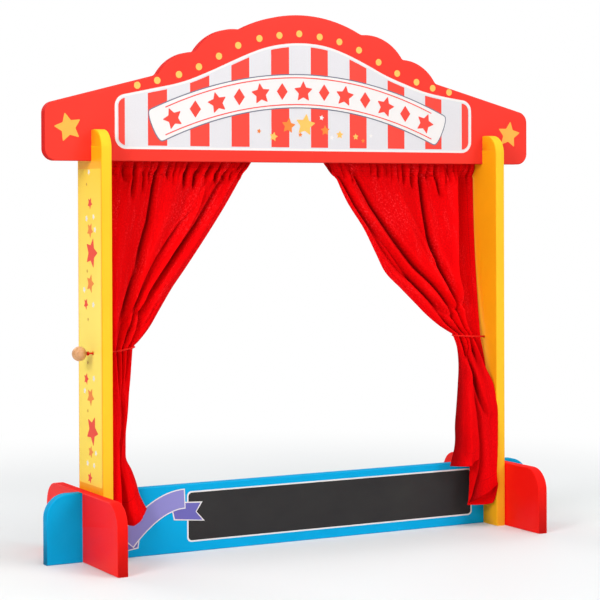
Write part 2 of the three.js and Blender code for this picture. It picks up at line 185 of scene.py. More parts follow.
# Satin enamel over fibreboard: an even colour with a faint sprayed orange-peel at 2 mm. The
# sawn edges soak up more paint, so they are duller than the faces. They are also given a colour
# of their own: on the posts a paler yellow than the faces, as painted light where the edges
# face the lamps, and on the header a darker red.
def satin_enamel(add, face_hex, edge_hex):
    place = add("TexCoord").outputs["Object"]
    cut = add("Attribute", attribute_name="sawn_edge").outputs["Fac"]
    cloud = add("TexNoise", {"Vector": place, "Scale": 9.0, "Detail": 3.0, "Roughness": 0.5})
    tone = add("MapRange", {"Value": cloud, **NOISE_SPAN, "To Min": 0.965, "To Max": 1.03})
    colour = add("Mix", {0: cut, 6: linear(face_hex), 7: linear(edge_hex)}, data_type="RGBA")
    toned = add("VectorMath", {0: colour.outputs[2], "Scale": tone}, operation="SCALE")
    peel = add("TexNoise", {"Vector": place, "Scale": 420.0, "Detail": 1.5, "Roughness": 0.45})
    fibre = add("TexNoise", {"Vector": place, "Scale": 1400.0, "Detail": 2.0})
    fibre_on_edge = add("Math", {0: fibre, 1: cut}, operation="MULTIPLY")
    height = add("Math", {0: fibre_on_edge, 1: 0.5, 2: peel}, operation="MULTIPLY_ADD")
    bump = add("Bump", {"Height": height, "Strength": 0.22, "Distance": 0.00018})
    gloss = add("MapRange", {"Value": cloud, **NOISE_SPAN, "To Min": 0.30, "To Max": 0.37})
    rough = add("Math", {0: cut, 1: 0.4, 2: gloss}, operation="MULTIPLY_ADD")
    return add("BsdfPrincipled", {"Base Color": toned, "Roughness": rough, "Normal": bump,
        "IOR": 1.5, "Specular IOR Level": 0.08})


def select_only(piece):
    bpy.ops.object.select_all(action="DESELECT")
    piece.select_set(True)
    bpy.context.view_layer.objects.active = piece


def work_on_whole_mesh(operator, **settings):
    bpy.ops.object.mode_set(mode="EDIT")
    bpy.ops.mesh.select_all(action="SELECT")
    operator(**settings)
    bpy.ops.object.mode_set(mode="OBJECT")


def put_in_mesh():
    bpy.ops.object.transform_apply(location=True, rotation=True, scale=True)


def apply_modifier(piece, kind, **settings):
    bpy.ops.object.modifier_add(type=kind)
    modifier = piece.modifiers[-1]
    for key, value in settings.items():
        setattr(modifier, key, value)
    bpy.ops.object.modifier_apply(modifier=modifier.name)


# A board is a copy of its node. The softened edges are shaded round while the faces stay
# flat, as sanded boards are, and each point knows how far round the arris it lies.
def finished_board(node, thickness_axis, middle, material):
    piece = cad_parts[node].copy()
    piece.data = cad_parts[node].data.copy()
    piece.name = piece.data.name = node + "_painted"
    bpy.context.collection.objects.link(piece)
    piece.parent = None
    piece.data.materials.clear()
    select_only(piece)
    put_in_mesh()
    work_on_whole_mesh(bpy.ops.mesh.remove_doubles, threshold=0.00001)
    bpy.ops.object.shade_smooth_by_angle(angle=math.radians(50))
    apply_modifier(piece, "WEIGHTED_NORMAL", keep_sharp=True)
    sawn = piece.data.attributes.new("sawn_edge", "FLOAT", "POINT")
    for vertex in piece.data.vertices:
        from_face = HALF_BOARD - abs(vertex.co[thickness_axis] - middle)
        sawn.data[vertex.index].value = min(max(from_face / ARRIS, 0), 1)
    piece.data.materials.append(material)
    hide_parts(node)
    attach(piece, STAND)


blue_enamel = made_material("blue_satin_enamel", satin_enamel, "#00A6DC", "#009BCE")
finished_board("front_board", 1, 0, blue_enamel)


# Prints on the boards: screen-printed ink, 0.15 mm thick, laid on the enamel as flat shapes.
# The front board carries a field of blackboard paint in a white line, and a plain ribbon.

INK = 0.00015
AUDIENCE_FACE = ("Y", -HALF_BOARD)


# colour is a hex colour, or a function that adds the nodes of a blend and returns the last
def screen_ink(add, colour):
    place = add("TexCoord").outputs["Object"]
    # Fine mesh marks of the printing screen, drawn at 0.8 mm so that they show close up
    mesh_marks = add("TexNoise", {"Vector": place, "Scale": 1250.0, "Detail": 1.0})
    tone = add("MapRange", {"Value": mesh_marks, **NOISE_SPAN, "To Min": 0.97,
        "To Max": 1.02})
    plain = colour(add, place) if callable(colour) else linear(colour)[:3]
    toned = add("VectorMath", {0: plain, "Scale": tone}, operation="SCALE")
    bump = add("Bump", {"Height": mesh_marks, "Strength": 0.15, "Distance": 0.0001})
    return add("BsdfPrincipled", {"Base Color": toned, "Roughness": 0.42, "Normal": bump,
        "IOR": 1.5, "Specular IOR Level": 0.08})


def mesh_from_curve(name, lines, closed, **settings):
    curve = bpy.data.curves.new(name, "CURVE")
    for key, value in settings.items():
        setattr(curve, key, value)
    for places in lines:
        line = curve.splines.new("POLY")
        line.points.add(len(places) - 1)
        line.use_cyclic_u = closed
        for point, place in zip(line.points, places):
            point.co = (*place, 1)
    piece = bpy.data.objects.new(name, curve)
    bpy.context.collection.objects.link(piece)
    select_only(piece)
    bpy.ops.object.convert(target="MESH")
    return piece


# Each outline is a closed line of (across, up) points in millimetres. An outline inside
# another makes a hole. layer counts the coats of ink under this one.
def print_shapes(name, outlines, material, layer=0, face=AUDIENCE_FACE):
    lines = [[(across / 1000, up / 1000, 0) for across, up in outline] for outline in outlines]
    piece = mesh_from_curve(name, lines, True, dimensions="2D", fill_mode="BOTH",
                            extrude=INK / 2)
    axis, place = face
    proud = place + math.copysign(INK * (layer + 0.4), place)
    if axis == "Y":
        piece.rotation_euler = (math.pi / 2, 0, 0)
        piece.location.y = proud
    else:
        piece.rotation_euler = (math.pi / 2, 0, math.copysign(math.pi / 2, proud))
        piece.location.x = proud
    put_in_mesh()
    piece.data.materials.append(material)
    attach(piece, STAND)


def arc(across, up, radius, start, end, steps=8):
    points = []
    for step in range(steps + 1):
        angle = math.radians(start + (end - start) * step / steps)
        points.append((across + radius * math.cos(angle), up + radius * math.sin(angle)))
    return points


def rounded_box(left, bottom, right, top, radius):
    return (arc(right - radius, bottom + radius, radius, -90, 0)
            + arc(right - radius, top - radius, radius, 0, 90)
            + arc(left + radius, top - radius, radius, 90, 180)
            + arc(left + radius, bottom + radius, radius, 180, 270))


# Blackboard paint: matt charcoal with the haze that wiped chalk leaves
def blackboard_paint(add):
    place = add("TexCoord").outputs["Object"]
    wiped = add("Mapping", {"Vector": place, "Rotation": (0, 0.35, 0), "Scale": (7, 7, 12)})
    haze = add("TexNoise", {"Vector": wiped, "Scale": 1.0, "Detail": 5.0, "Roughness": 0.6})
    charcoal = add("ValToRGB", {"Fac": haze}, ((0.35, "#2A2829"), (0.75, "#31302F")))
    grit = add("TexNoise", {"Vector": place, "Scale": 1800.0, "Detail": 2.0})
    bump = add("Bump", {"Height": grit, "Strength": 0.5, "Distance": 0.00015})
    return add("BsdfPrincipled", {"Base Color": charcoal, "Roughness": 0.78, "Normal": bump,
        "Specular IOR Level": 0.2})


white_ink = made_material("white_screen_ink", screen_ink, "#E9E4E2")
lilac_ink = made_material("lilac_screen_ink", screen_ink, "#8F8BCB")
deep_lilac_ink = made_material("deep_lilac_screen_ink", screen_ink, "#6E69B4")
blackboard = rounded_box(-219, 19, 344, 99, 6.5)
print_shapes("blackboard_line", [rounded_box(-221.5, 16.5, 346.5, 101.5, 8), blackboard],
             white_ink)
print_shapes("blackboard_field", [blackboard],
             made_material("blackboard_paint", blackboard_paint))


def band(line, half_width):
    near, far = [], []
    for i, point in enumerate(line):
        before, after = line[max(i - 1, 0)], line[min(i + 1, len(line) - 1)]
        along = Vector((after[0] - before[0], after[1] - before[1])).normalized()
        near.append((point[0] - along.y * half_width, point[1] + along.x * half_width))
        far.append((point[0] + along.y * half_width, point[1] - along.x * half_width))
    return near + far[::-1]


# The ribbon is one arched band, and its notched tails come out from behind its two ends. grow
# makes all three larger, for the line round them.
def ribbon_shapes(grow):
    left, low, run, rise, half_width, steps = -331, 28, 104, 62, 15, 16
    arch = []
    for step in range(steps + 1):
        share = step / steps
        arch.append((left + run * share, low + rise * (1 - (1 - share) ** 1.9)))
    arch[0] = (arch[0][0] - grow * 0.5, arch[0][1] - grow)
    arch[-1] = (arch[-1][0] + grow, arch[-1][1])
    upper_tail = [(-248 - grow, 74), (-244 - grow, 57 - grow), (-193 + 2.2 * grow, 52 - grow),
                  (-206 + grow, 66.5), (-197 + 2.2 * grow, 81 + grow), (-232, 83 + grow)]
    lower_tail = [(-336 - grow, 12 - grow), (-312 + grow, 16 - grow), (-309 + grow, 34 + grow),
                  (-336 - grow, 34 + grow)]
    return band(arch, half_width + grow), upper_tail, lower_tail


ribbon_line, ribbon_field = ribbon_shapes(1.8), ribbon_shapes(0)
for i, part, ink, coat in ((2, "lower_tail", deep_lilac_ink, 1),
                           (1, "upper_tail", deep_lilac_ink, 1), (0, "band", lilac_ink, 3)):
    print_shapes("ribbon_" + part + "_line", [ribbon_line[i]], white_ink, coat)
    print_shapes("ribbon_" + part, [ribbon_field[i]], ink, coat + 1)


# Feet: short red boards across the ends of the front board. They are cut from the same
# fibreboard, halved over the front board in a slot, and sprayed with the same enamel.
red_enamel = made_material("red_satin_enamel", satin_enamel, "#F71710", "#F01610")
FOOT_MIDDLE = 0.3993
SIDES = (("left", -1), ("right", 1))
for side_name, side in SIDES:
    finished_board(side_name + "_foot", 0, side * FOOT_MIDDLE, red_enamel)


# Posts: yellow uprights of the same board, slotted over the front board beside the feet. Each
# outer face has a paler printed panel, with stars scattered round the hole for the tie-back.
# The faces are given a deeper yellow than the sawn edges: painted shade on the faces and painted
# light on the edges that face the lamps.
# Deeper faces and paler edges of this one yellow are painted shade and painted light
yellow_enamel = made_material("yellow_satin_enamel", satin_enamel, "#F6AE14", "#FBC32C")
POST_MIDDLE = 0.381
for side_name, side in SIDES:
    finished_board(side_name + "_post", 0, side * POST_MIDDLE, yellow_enamel)


# A five-pointed star with plump arms: its points and notches are a little rounded
def star(across, up, size, turn=0.0):
    plump, point_ease, notch_ease = 0.5, 0.16, 0.1
    corners = []
    for i in range(10):
        radius = size / 2 if i % 2 == 0 else size / 2 * plump
        angle = math.radians(90 + 36 * i + turn)
        corners.append(Vector((radius * math.cos(angle), radius * math.sin(angle))))
    points = []
    for i, corner in enumerate(corners):
        ease = point_ease if i % 2 == 0 else notch_ease
        start = corner.lerp(corners[i - 1], ease)
        end = corner.lerp(corners[(i + 1) % 10], ease)
        for share in (0, 0.33, 0.67, 1):
            place = start.lerp(corner, share).lerp(corner.lerp(end, share), share)
            points.append((across + place.x, up + place.y))
    return points


# The post's pale yellow panel is print. Its blend, palest in the middle and warmer at the two
# ends, is a painted reflection of the lamps.
def pale_yellow_with_painted_glare(add, place):
    height = add("SeparateXYZ", {0: place}).outputs["Z"]
    up = add("MapRange", {"Value": height, "From Min": 0.12, "From Max": 0.64})
    return add("ValToRGB", {0: up}, ((0, "#FEDA50"), (0.55, "#FEE36C"), (1, "#FBCE3C")))


def ring(across, up, diameter):
    return arc(across, up, diameter / 2, 0, 360, 24)[:-1]


pale_yellow_ink = made_material("pale_yellow_screen_ink", screen_ink, pale_yellow_with_painted_glare)
red_ink = made_material("red_screen_ink", screen_ink, "#EC4A38")
orange_ink = made_material("orange_screen_ink", screen_ink, "#EF853C")
ochre_ink = made_material("ochre_screen_ink", screen_ink, "#D2963A")

# (across, up, size) in millimetres, across counted forwards from the middle of the post
RED_STARS = [(2, 584, 21), (8, 503, 52), (-17, 419, 20), (-17, 296, 21), (8, 213.5, 52),
             (-3, 135, 20)]
ORANGE_STARS = [(2, 540, 27), (2, 453, 33), (1, 268, 32), (1, 178, 22)]
WHITE_STARS = [(-2, 635, 11), (-13, 559, 12), (17, 562, 11), (23, 541, 12), (-24, 442, 12),
               (15, 419, 12), (15.5, 299, 12), (-24, 276, 12), (23, 178, 11),
               (-13, 158, 12), (15, 157, 11)]
OCHRE_STARS = [(-12, 615, 7), (-11, 473, 7), (-8, 394, 7), (-10, 323, 7), (-11, 244, 7)]


def post_prints(side_name, side):
    face = ("X", side * (POST_MIDDLE + HALF_BOARD))
    # On the left post the audience's side is to the right of someone who reads its face
    forward = -side
    hole = ring(12 * forward, 340, 7.6)
    print_shapes(side_name + "_post_panel", [rounded_box(-48.5, 124, 48.5, 640, 3), hole],
                 pale_yellow_ink, face=face)
    for colour, places, ink in (("red", RED_STARS, red_ink),
                                ("orange", ORANGE_STARS, orange_ink),
                                ("white", WHITE_STARS, white_ink),
                                ("ochre", OCHRE_STARS, ochre_ink)):
        # Each points forwards, give or take a few degrees
        stars = [star(across * forward, up, size, (i * 37) % 24 - 12 - 90 * forward)
                 for i, (across, up, size) in enumerate(places)]
        print_shapes(side_name + "_post_" + colour + "_stars", stars, ink, 1, face)


for side_name, side in SIDES:
    post_prints(side_name, side)


# Header: a red board slotted over the tops of the posts, its top edge sawn in scallops to a
# crown. Its face is printed with a striped awning panel in a white line, a row of lamps along
# the crest and two stars. Its red is given paler than the feet's, as a painted sheen of the
# lamps, and its sawn edges are darker.
# The paler red of the header is painted sheen
header_enamel = made_material("red_satin_enamel_with_painted_sheen", satin_enamel, "#F13A2F", "#D01711")
finished_board("header_board", 1, 0, header_enamel)

dove_ink = made_material("dove_white_screen_ink", screen_ink, "#DBD8DB")
stripe_ink = made_material("stripe_screen_ink", screen_ink, "#F04A3F")
lamp_ink = made_material("lamp_yellow_screen_ink", screen_ink, "#FFBF62")
star_ink = made_material("star_yellow_screen_ink", screen_ink, "#FDB04C")

PANEL_TOP = [(-334, 762.6), (-283, 773.3), (-227, 785.9), (-180.5, 803.4), (-137, 822.5),
             (-101, 838), (-64, 850.5), (-25, 857.2), (13, 858.4), (50.6, 854), (89, 842.3),
             (128, 826.2), (167, 808.3), (206.6, 794), (246.6, 781.4), (287, 773.7),
             (328, 768)]
PANEL_LEFT, PANEL_RIGHT, PANEL_BOTTOM = -348.6, 347.5, 673


# The weights of two places, and of the slopes at them, a share t of the way from one to the
# other on a smooth curve
def curve_weights(t):
    return (1 + 2 * t) * (1 - t) ** 2, t * t * (3 - 2 * t), t * (1 - t) ** 2, -t * t * (1 - t)


# The panel's top edge is one smooth curve through the measured places
def panel_top(across):
    line = PANEL_TOP
    i = max(i for i in range(len(line) - 1) if i == 0 or line[i][0] <= across)
    slopes = []
    for j in (i, i + 1):
        before, after = line[max(j - 1, 0)], line[min(j + 1, len(line) - 1)]
        slopes.append((after[1] - before[1]) / (after[0] - before[0]))
    (x0, z0), (x1, z1) = line[i], line[i + 1]
    reach = x1 - x0
    weights = curve_weights(min(max((across - x0) / reach, 0), 1))
    values = (z0, z1, reach * slopes[0], reach * slopes[1])
    return sum(weight * value for weight, value in zip(weights, values))


def panel_lean(across):
    return math.atan((panel_top(across + 1) - panel_top(across - 1)) / 2)


def panel_outline(inset):
    left, right = PANEL_LEFT + inset, PANEL_RIGHT - inset
    bottom, radius, steps = PANEL_BOTTOM + inset, 20 - inset, 72
    corners = []
    for across in (right - radius, left + radius):
        lean = panel_lean(across)
        up = panel_top(across) - (inset + radius) / math.cos(lean)
        corners.append((across, up, radius, 90 + math.degrees(lean)))
    points = arc(right - radius, bottom + radius, radius, -90, 0)
    points += arc(*corners[0][:3], 0, corners[0][3])
    end_corner = arc(*corners[1][:3], corners[1][3], 180)
    start, end = points[-1][0], end_corner[0][0]
    for step in range(1, steps):
        across = start + (end - start) * step / steps
        points.append((across, panel_top(across) - inset / math.cos(panel_lean(across))))
    return points + end_corner + arc(left + radius, bottom + radius, radius, 180, 270)


STRIPES = [(-342.3, -331), (-289.7, -255), (-212.8, -177.2), (-135.9, -102), (-60.1, -25.5),
           (17.1, 50.7), (94.1, 128.2), (171.6, 206), (249.5, 283.9), (327.2, 341.2)]
LINE_WIDTH, FIELD_INSET = 4, 6
STRIPE_FIELD = panel_outline(FIELD_INSET)


# The lowest and highest place of the stripes' field at this distance across
def field_span(across):
    found = []
    for (x0, z0), (x1, z1) in zip(STRIPE_FIELD, STRIPE_FIELD[1:] + STRIPE_FIELD[:1]):
        if min(x0, x1) <= across <= max(x0, x1) and x0 != x1:
            found.append(z0 + (z1 - z0) * (across - x0) / (x1 - x0))
    return min(found), max(found)


def stripe(left, right, steps=12):
    places = [left + (right - left) * step / steps for step in range(steps + 1)]
    spans = [(across, *field_span(across)) for across in places]
    return [(x, low) for x, low, _ in spans] + [(x, high) for x, _, high in spans[::-1]]


awning = panel_outline(LINE_WIDTH)
print_shapes("awning_line", [panel_outline(0), awning], white_ink)
print_shapes("awning_panel", [awning], dove_ink)
print_shapes("awning_stripes", [stripe(*edges) for edges in STRIPES], stripe_ink, 1)

LAMPS = [(-308.5, 778.1), (-272.5, 787.1), (-233, 798), (-196.2, 812.1), (-158.9, 831.1),
         (-122.7, 850.5), (-82.3, 863.8), (-43.8, 870.5), (-5.2, 874.7), (34.9, 870.8),
         (74.1, 863.9), (113.5, 850.8), (153.3, 831), (191.5, 812.4), (231.6, 798.1),
         (265.7, 788.3), (300.4, 781.6)]
print_shapes("crest_lamps", [ring(x, z, 11.8) for x, z in LAMPS], lamp_ink)
print_shapes("header_end_stars", [star(-430, 707, 50, 14), star(430, 707, 50, -8)], star_ink)


# In the middle of the panel is a plain arched plaque with a row of stars and diamonds, and
# small stars are strewn below it
PLAQUE = [(2 + 274 * step / 20, 776 - 62 * (step / 20) ** 2) for step in range(-20, 21)]


def rounded_band(line, half_width, bulge):
    outline = band(line, half_width)
    middle, steps = len(line), 16
    for at, before, here in ((2 * middle, line[1], line[0]), (middle, line[-2], line[-1])):
        along = Vector((here[0] - before[0], here[1] - before[1])).normalized()
        cap = []
        for step in range(1, steps):
            angle = math.pi * step / steps
            out = bulge * math.sin(angle) ** 0.6
            side = half_width * math.cos(angle)
            cap.append((here[0] + along.x * out - along.y * side,
                        here[1] + along.y * out + along.x * side))
        outline[at:at] = cap
    return outline


slate_ink = made_material("slate_screen_ink", screen_ink, "#6D6F80")
print_shapes("plaque_line", [rounded_band(PLAQUE, 29.5, 11.5)], slate_ink, 2)
print_shapes("plaque", [rounded_band(PLAQUE, 27.7, 9.7)], white_ink, 3)
for name, height in (("plaque_rule_low", -23), ("plaque_rule_high", 23)):
    rule = [(x, z + height) for x, z in PLAQUE[1:-1]]
    print_shapes(name, [band(rule, 0.9)], stripe_ink, 4)


def diamond(across, up, size):
    return [(across - size * 0.36, up), (across, up - size / 2), (across + size * 0.36, up),
            (across, up + size / 2)]


ornaments = []
for i in range(13):
    across, up = PLAQUE[2 + 3 * i]
    ornaments.append(star(across, up - 1, 38, 4 * (6 - i)) if i % 2 == 0
                     else diamond(across, up, 29))
print_shapes("plaque_ornaments", ornaments, stripe_ink, 4)

strewn = {
    "yellow": (lamp_ink, [(-56, 697, 17), (6, 718, 40), (74, 702, 15), (106, 699, 12)]),
    "orange": (orange_ink, [(-84, 706, 9), (-27, 716, 28), (-4, 701, 9), (45, 709, 19),
                            (121, 692, 8)]),
    "white": (white_ink, [(38, 731, 10), (58, 697, 9), (137, 701, 8)]),
}
for colour, (ink, places) in strewn.items():
    stars = [star(x, z, size, (i * 31) % 26 - 13) for i, (x, z, size) in enumerate(places)]
    print_shapes("strewn_" + colour + "_stars", stars, ink, 2)


# Curtain rod: a 12 mm beech dowel behind the header. It is sanded and lightly oiled, and its
# ends are let into blind sockets in the posts.

# Oiled beech: rays and pores run along the piece, fine across and long with the grain, on
# wider growth rings
def oiled_beech(add, light_hex, dark_hex):
    place = add("TexCoord").outputs["Object"]
    grain_place = add("Mapping", {"Vector": place, "Scale": (26, 420, 420)})
    grain = add("TexNoise", {"Vector": grain_place, "Scale": 1.0, "Detail": 4.0,
        "Roughness": 0.62})
    ring_place = add("Mapping", {"Vector": place, "Scale": (7, 95, 95)})
    growth = add("TexNoise", {"Vector": ring_place, "Scale": 1.0, "Detail": 2.0})
    half_grain = add("Math", {0: grain, 1: 0.5}, operation="MULTIPLY")
    mixed = add("Math", {0: growth, 1: 0.5, 2: half_grain}, operation="MULTIPLY_ADD")
    colour = add("ValToRGB", {"Fac": mixed}, ((0.36, dark_hex), (0.62, light_hex)))
    bump = add("Bump", {"Height": grain, "Strength": 0.25, "Distance": 0.0001})
    return add("BsdfPrincipled", {"Base Color": colour, "Roughness": 0.46, "Normal": bump})


bpy.ops.object.select_all(action="DESELECT")
low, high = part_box("curtain_rod")
bpy.ops.mesh.primitive_cylinder_add(vertices=48, radius=0.006, depth=high[0] - low[0],
    location=[(a + b) / 2 for a, b in zip(low, high)], rotation=(0, math.pi / 2, 0))
rod = bpy.context.object
rod.name = "curtain_dowel"
put_in_mesh()
apply_modifier(rod, "BEVEL", width=0.0008, segments=3, limit_method="ANGLE")
bpy.ops.object.shade_smooth_by_angle(angle=math.radians(40))
rod.data.materials.append(
    made_material("oiled_beech_dowel", oiled_beech, "#DDB98C", "#C79B69"))
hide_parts("curtain_rod")
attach(rod, STAND)


# Curtains: short-pile polyester velvet, about 1 mm thick. A pocket sewn along the top slides
# on the dowel and gathers there, the side and lower edges have a narrow stitched hem, and the
# loop at the post draws the cloth into a waist.

CLOTH = 0.0011
FLAT_WIDTH, FLAT_LENGTH = 0.29, 0.69
HEM, POCKET_SEAM = 11, 86
ROD_Y, ROD_Z = 24, 660
POCKET_ROWS, UPPER_ROWS, LOWER_ROWS = 26, 84, 80
WAIST_ROW = POCKET_ROWS + UPPER_ROWS
COLUMNS = 236


# A row of stitches across or down the cloth: dashes 2.6 mm long on a line 0.9 mm wide
def stitch_row(add, along, across, place):
    spacing, dash_share, half_width = 3.8, 0.68, 0.45
    gap = add("Math", {0: across, 1: place}, operation="SUBTRACT")
    distance = add("Math", {0: gap}, operation="ABSOLUTE")
    line = add("Math", {0: distance, 1: half_width}, operation="LESS_THAN")
    count = add("Math", {0: along, 1: spacing}, operation="DIVIDE")
    part = add("Math", {0: count}, operation="FRACT")
    dash = add("Math", {0: part, 1: dash_share}, operation="LESS_THAN")
    return add("Math", {0: line, 1: dash}, operation="MULTIPLY")


# Velvet: saturated red with streaks of painted sheen in pale specks, drawn at 3 mm so that it
# shows and mostly above the tie, and a thin row of stitches along every hem and under the
# pocket. Painted shade darkens the hollows of the folds, and a painted highlight lightens the
# ridges. Millimetres on the flat cloth.
def polyester_velvet(add):
    cloth = add("UVMap", uv_map="cloth_mm")
    apart = add("SeparateXYZ", {0: cloth})
    across, down = apart.outputs["X"], apart.outputs["Y"]
    pile = add("TexNoise", {"Vector": cloth, "Scale": 1.1, "Detail": 3.0, "Roughness": 0.7})
    nap_place = add("Mapping", {"Vector": cloth, "Scale": (1, 0.6, 1)})
    nap = add("TexNoise", {"Vector": nap_place, "Scale": 0.42, "Detail": 3.0, "Roughness": 0.75})
    # Streaks of painted sheen: pale specks, fewer below the tie
    sheen_streak_place = add("Mapping", {"Vector": cloth, "Scale": (0.05, 0.009, 1)})
    painted_nap_light = add("TexNoise", {"Vector": sheen_streak_place, "Scale": 1.0, "Detail": 3.0,
        "Roughness": 0.6})
    sheen_streak_mask = add("MapRange", {"Value": painted_nap_light, "From Min": 0.46, "From Max": 0.66},
        interpolation_type="SMOOTHSTEP")
    sheen_above_tie = add("MapRange", {"Value": down, "From Min": 360, "From Max": 430, "To Min": 1.0,
        "To Max": 0.2})
    streaks = add("Math", {0: sheen_streak_mask, 1: sheen_above_tie}, operation="MULTIPLY")
    speck = add("MapRange", {"Value": nap, "From Min": 0.53, "From Max": 0.66, "To Max": 0.6})
    pale = add("Math", {0: streaks, 1: speck}, operation="MULTIPLY")
    bright = add("MapRange", {"Value": nap, **NOISE_SPAN})
    hollow = add("Attribute", attribute_name="hollow").outputs["Fac"]
    rows = [stitch_row(add, across, down, place)
            for place in (POCKET_SEAM, FLAT_LENGTH * 1000 - HEM)]
    rows += [stitch_row(add, down, across, place)
             for place in (HEM, FLAT_WIDTH * 1000 - HEM)]
    stitches = rows[0]
    for row in rows[1:]:
        stitches = add("Math", {0: stitches, 1: row}, operation="MAXIMUM")
    # Each tone is laid over those before it: the bright nap, painted shade at two depths of
    # hollow, a painted highlight on the ridges, the pale specks of painted sheen and the thread
    # The hollow tones are painted shade in the creases and a painted highlight on the ridges
    tones = [(bright, "#F00207")]
    for start, end, most, hex_colour in ((1, 9, 0.55, "#900003"), (8, 22, 0.75, "#480001"),
                                         (-1, -8, 0.55, "#FC0307")):
        tones.append((add("MapRange", {"Value": hollow, "From Min": start, "From Max": end,
            "To Max": most}), hex_colour))
    colour = linear("#D20005")
    for share, hex_colour in tones + [(pale, "#FF444A"), (stitches, "#B40308")]:
        colour = add("Mix", {0: share, 6: colour, 7: linear(hex_colour)},
            data_type="RGBA").outputs[2]
    height = add("Math", {0: stitches, 1: -2.0, 2: pile}, operation="MULTIPLY_ADD")
    bump = add("Bump", {"Height": height, "Strength": 0.5, "Distance": 0.0005})
    return add("BsdfPrincipled", {"Base Color": colour, "Roughness": 0.9, "Normal": bump,
        "Specular IOR Level": 0.05, "Sheen Weight": 0.12, "Sheen Roughness": 0.4,
        "Sheen Tint": linear("#FF4040")})


# A smooth curve through evenly spaced values, at place from 0 to their last
def smooth_through(values, place):
    low = min(max(int(math.floor(place)), 0), len(values) - 2)
    share = place - low
    a = values[max(low - 1, 0)]
    b, c = values[low], values[low + 1]
    d = values[min(low + 2, len(values) - 1)]
    return (b + 0.5 * share * (c - a + share * (2 * a - 5 * b + 4 * c - d
                                               + share * (3 * (b - c) + d - a))))


def smooth_place(points, place):
    return [smooth_through(values, place) for values in zip(*points)]


def distances_along(points):
    found = [0.0]
    for one, other in zip(points, points[1:]):
        found.append(found[-1] + math.dist(one, other))
    return found


# Where target lies among rising stops: the stop before it, and the share of the step from there
def find_step(stops, target):
    before = min(max(bisect.bisect_left(stops, target) - 1, 0), len(stops) - 2)
    step = stops[before + 1] - stops[before]
    return before, (target - stops[before]) / step if step > 0 else 0


# Edge lines of the cloth in millimetres on the +X side: from the pocket's seam to the waist,
# and from the waist to the hem
POST_EDGE_UPPER = [(370.4, 21, 631), (370.4, 18.5, 560), (370.4, 13.5, 481), (368.3, 1.5, 399),
                   (364.3, -12, 344)]
LEFT_POST_EDGE_LOWER = [(364.3, -12, 340), (367.3, -26.5, 280), (370, -39, 204),
                        (370.3, -42, 120), (370.2, -42, 38)]
RIGHT_POST_EDGE_LOWER = [(364.3, -12, 340), (367, -24, 290), (366, -32, 235), (358, -30, 145),
                         (344, -27, 38)]
LEFT_STAGE_EDGE_UPPER = [(102.5, 21, 630), (135.3, 20, 579), (172.6, 18, 527), (209.6, 14, 479),
                         (240, 9, 442), (266, 2, 407), (289, -6, 377), (309, -11, 357),
                         (320.5, -12, 347)]
LEFT_STAGE_EDGE_LOWER = [(320.5, -12, 343), (324.5, -13.5, 308), (328.5, -15, 275),
                         (331, -16, 243), (335.3, -18, 216), (337.5, -21, 188),
                         (338, -24, 166), (329.8, -27, 148), (323.2, -30, 128),
                         (317.5, -31.5, 106), (305.4, -33, 82)]
RIGHT_STAGE_EDGE_UPPER = [(80.5, 21, 630), (106, 20, 583), (136.7, 18, 539), (160.2, 16, 495),
                          (179.5, 13.5, 459), (207, 8, 431), (235.3, 1.5, 402), (254.4, -4, 382),
                          (277, -9, 363), (305.5, -12, 346)]
RIGHT_STAGE_EDGE_LOWER = [(306.5, -12, 341), (313, -13, 322), (313.8, -17, 292),
                          (309.8, -20.5, 255), (304, -24, 213), (300, -26, 184),
                          (298, -29, 157), (293, -31.5, 136), (284, -34, 112)]


# Fold lines, from the post's edge to the stage's edge. Each has its share of the width and
# its height forwards in millimetres at the seam, 35% and 75% down to the waist, at the waist,
# then 35% and 65% down to the hem and at the hem. Then comes the height of the hem there.
LEFT_FOLDS = [
    [(0, 0)] * 7 + [38],
    [(.06, -4), (.06, -8), (.07, -10), (.1, -10), (.1, 3), (.08, 4), (.06, 5), 38],
    [(.2, 4), (.2, 10), (.2, 11), (.22, 11), (.26, 8), (.22, 11), (.19, 14), 41],
    [(.4, -5), (.43, -10), (.42, -12), (.36, -11), (.41, 5), (.29, 2), (.27, 4), 44],
    [(.52, 4), (.55, 7), (.5, 8), (.47, 9), (.5, 1), (.36, -12), (.35, -16), 47],
    [(.66, -3), (.69, -4), (.575, -7), (.57, -11), (.56, -6), (.47, -16), (.48, -22), 54],
    [(.76, 4), (.765, 7), (.63, 8), (.66, 11), (.63, -5), (.56, -12), (.6, -18), 56],
    [(.89, -5), (.84, -9), (.69, -10), (.76, -10), (.76, 5), (.6, 2), (.62, 4), 58],
    [(.95, 3), (.93, 4), (.85, 6), (.9, 8), (.9, 3), (.77, 5), (.76, 8), 66],
    [(1, 0), (1, 1), (1, 1), (1, 0), (1, 0), (1, 0), (1, 0), 82],
]
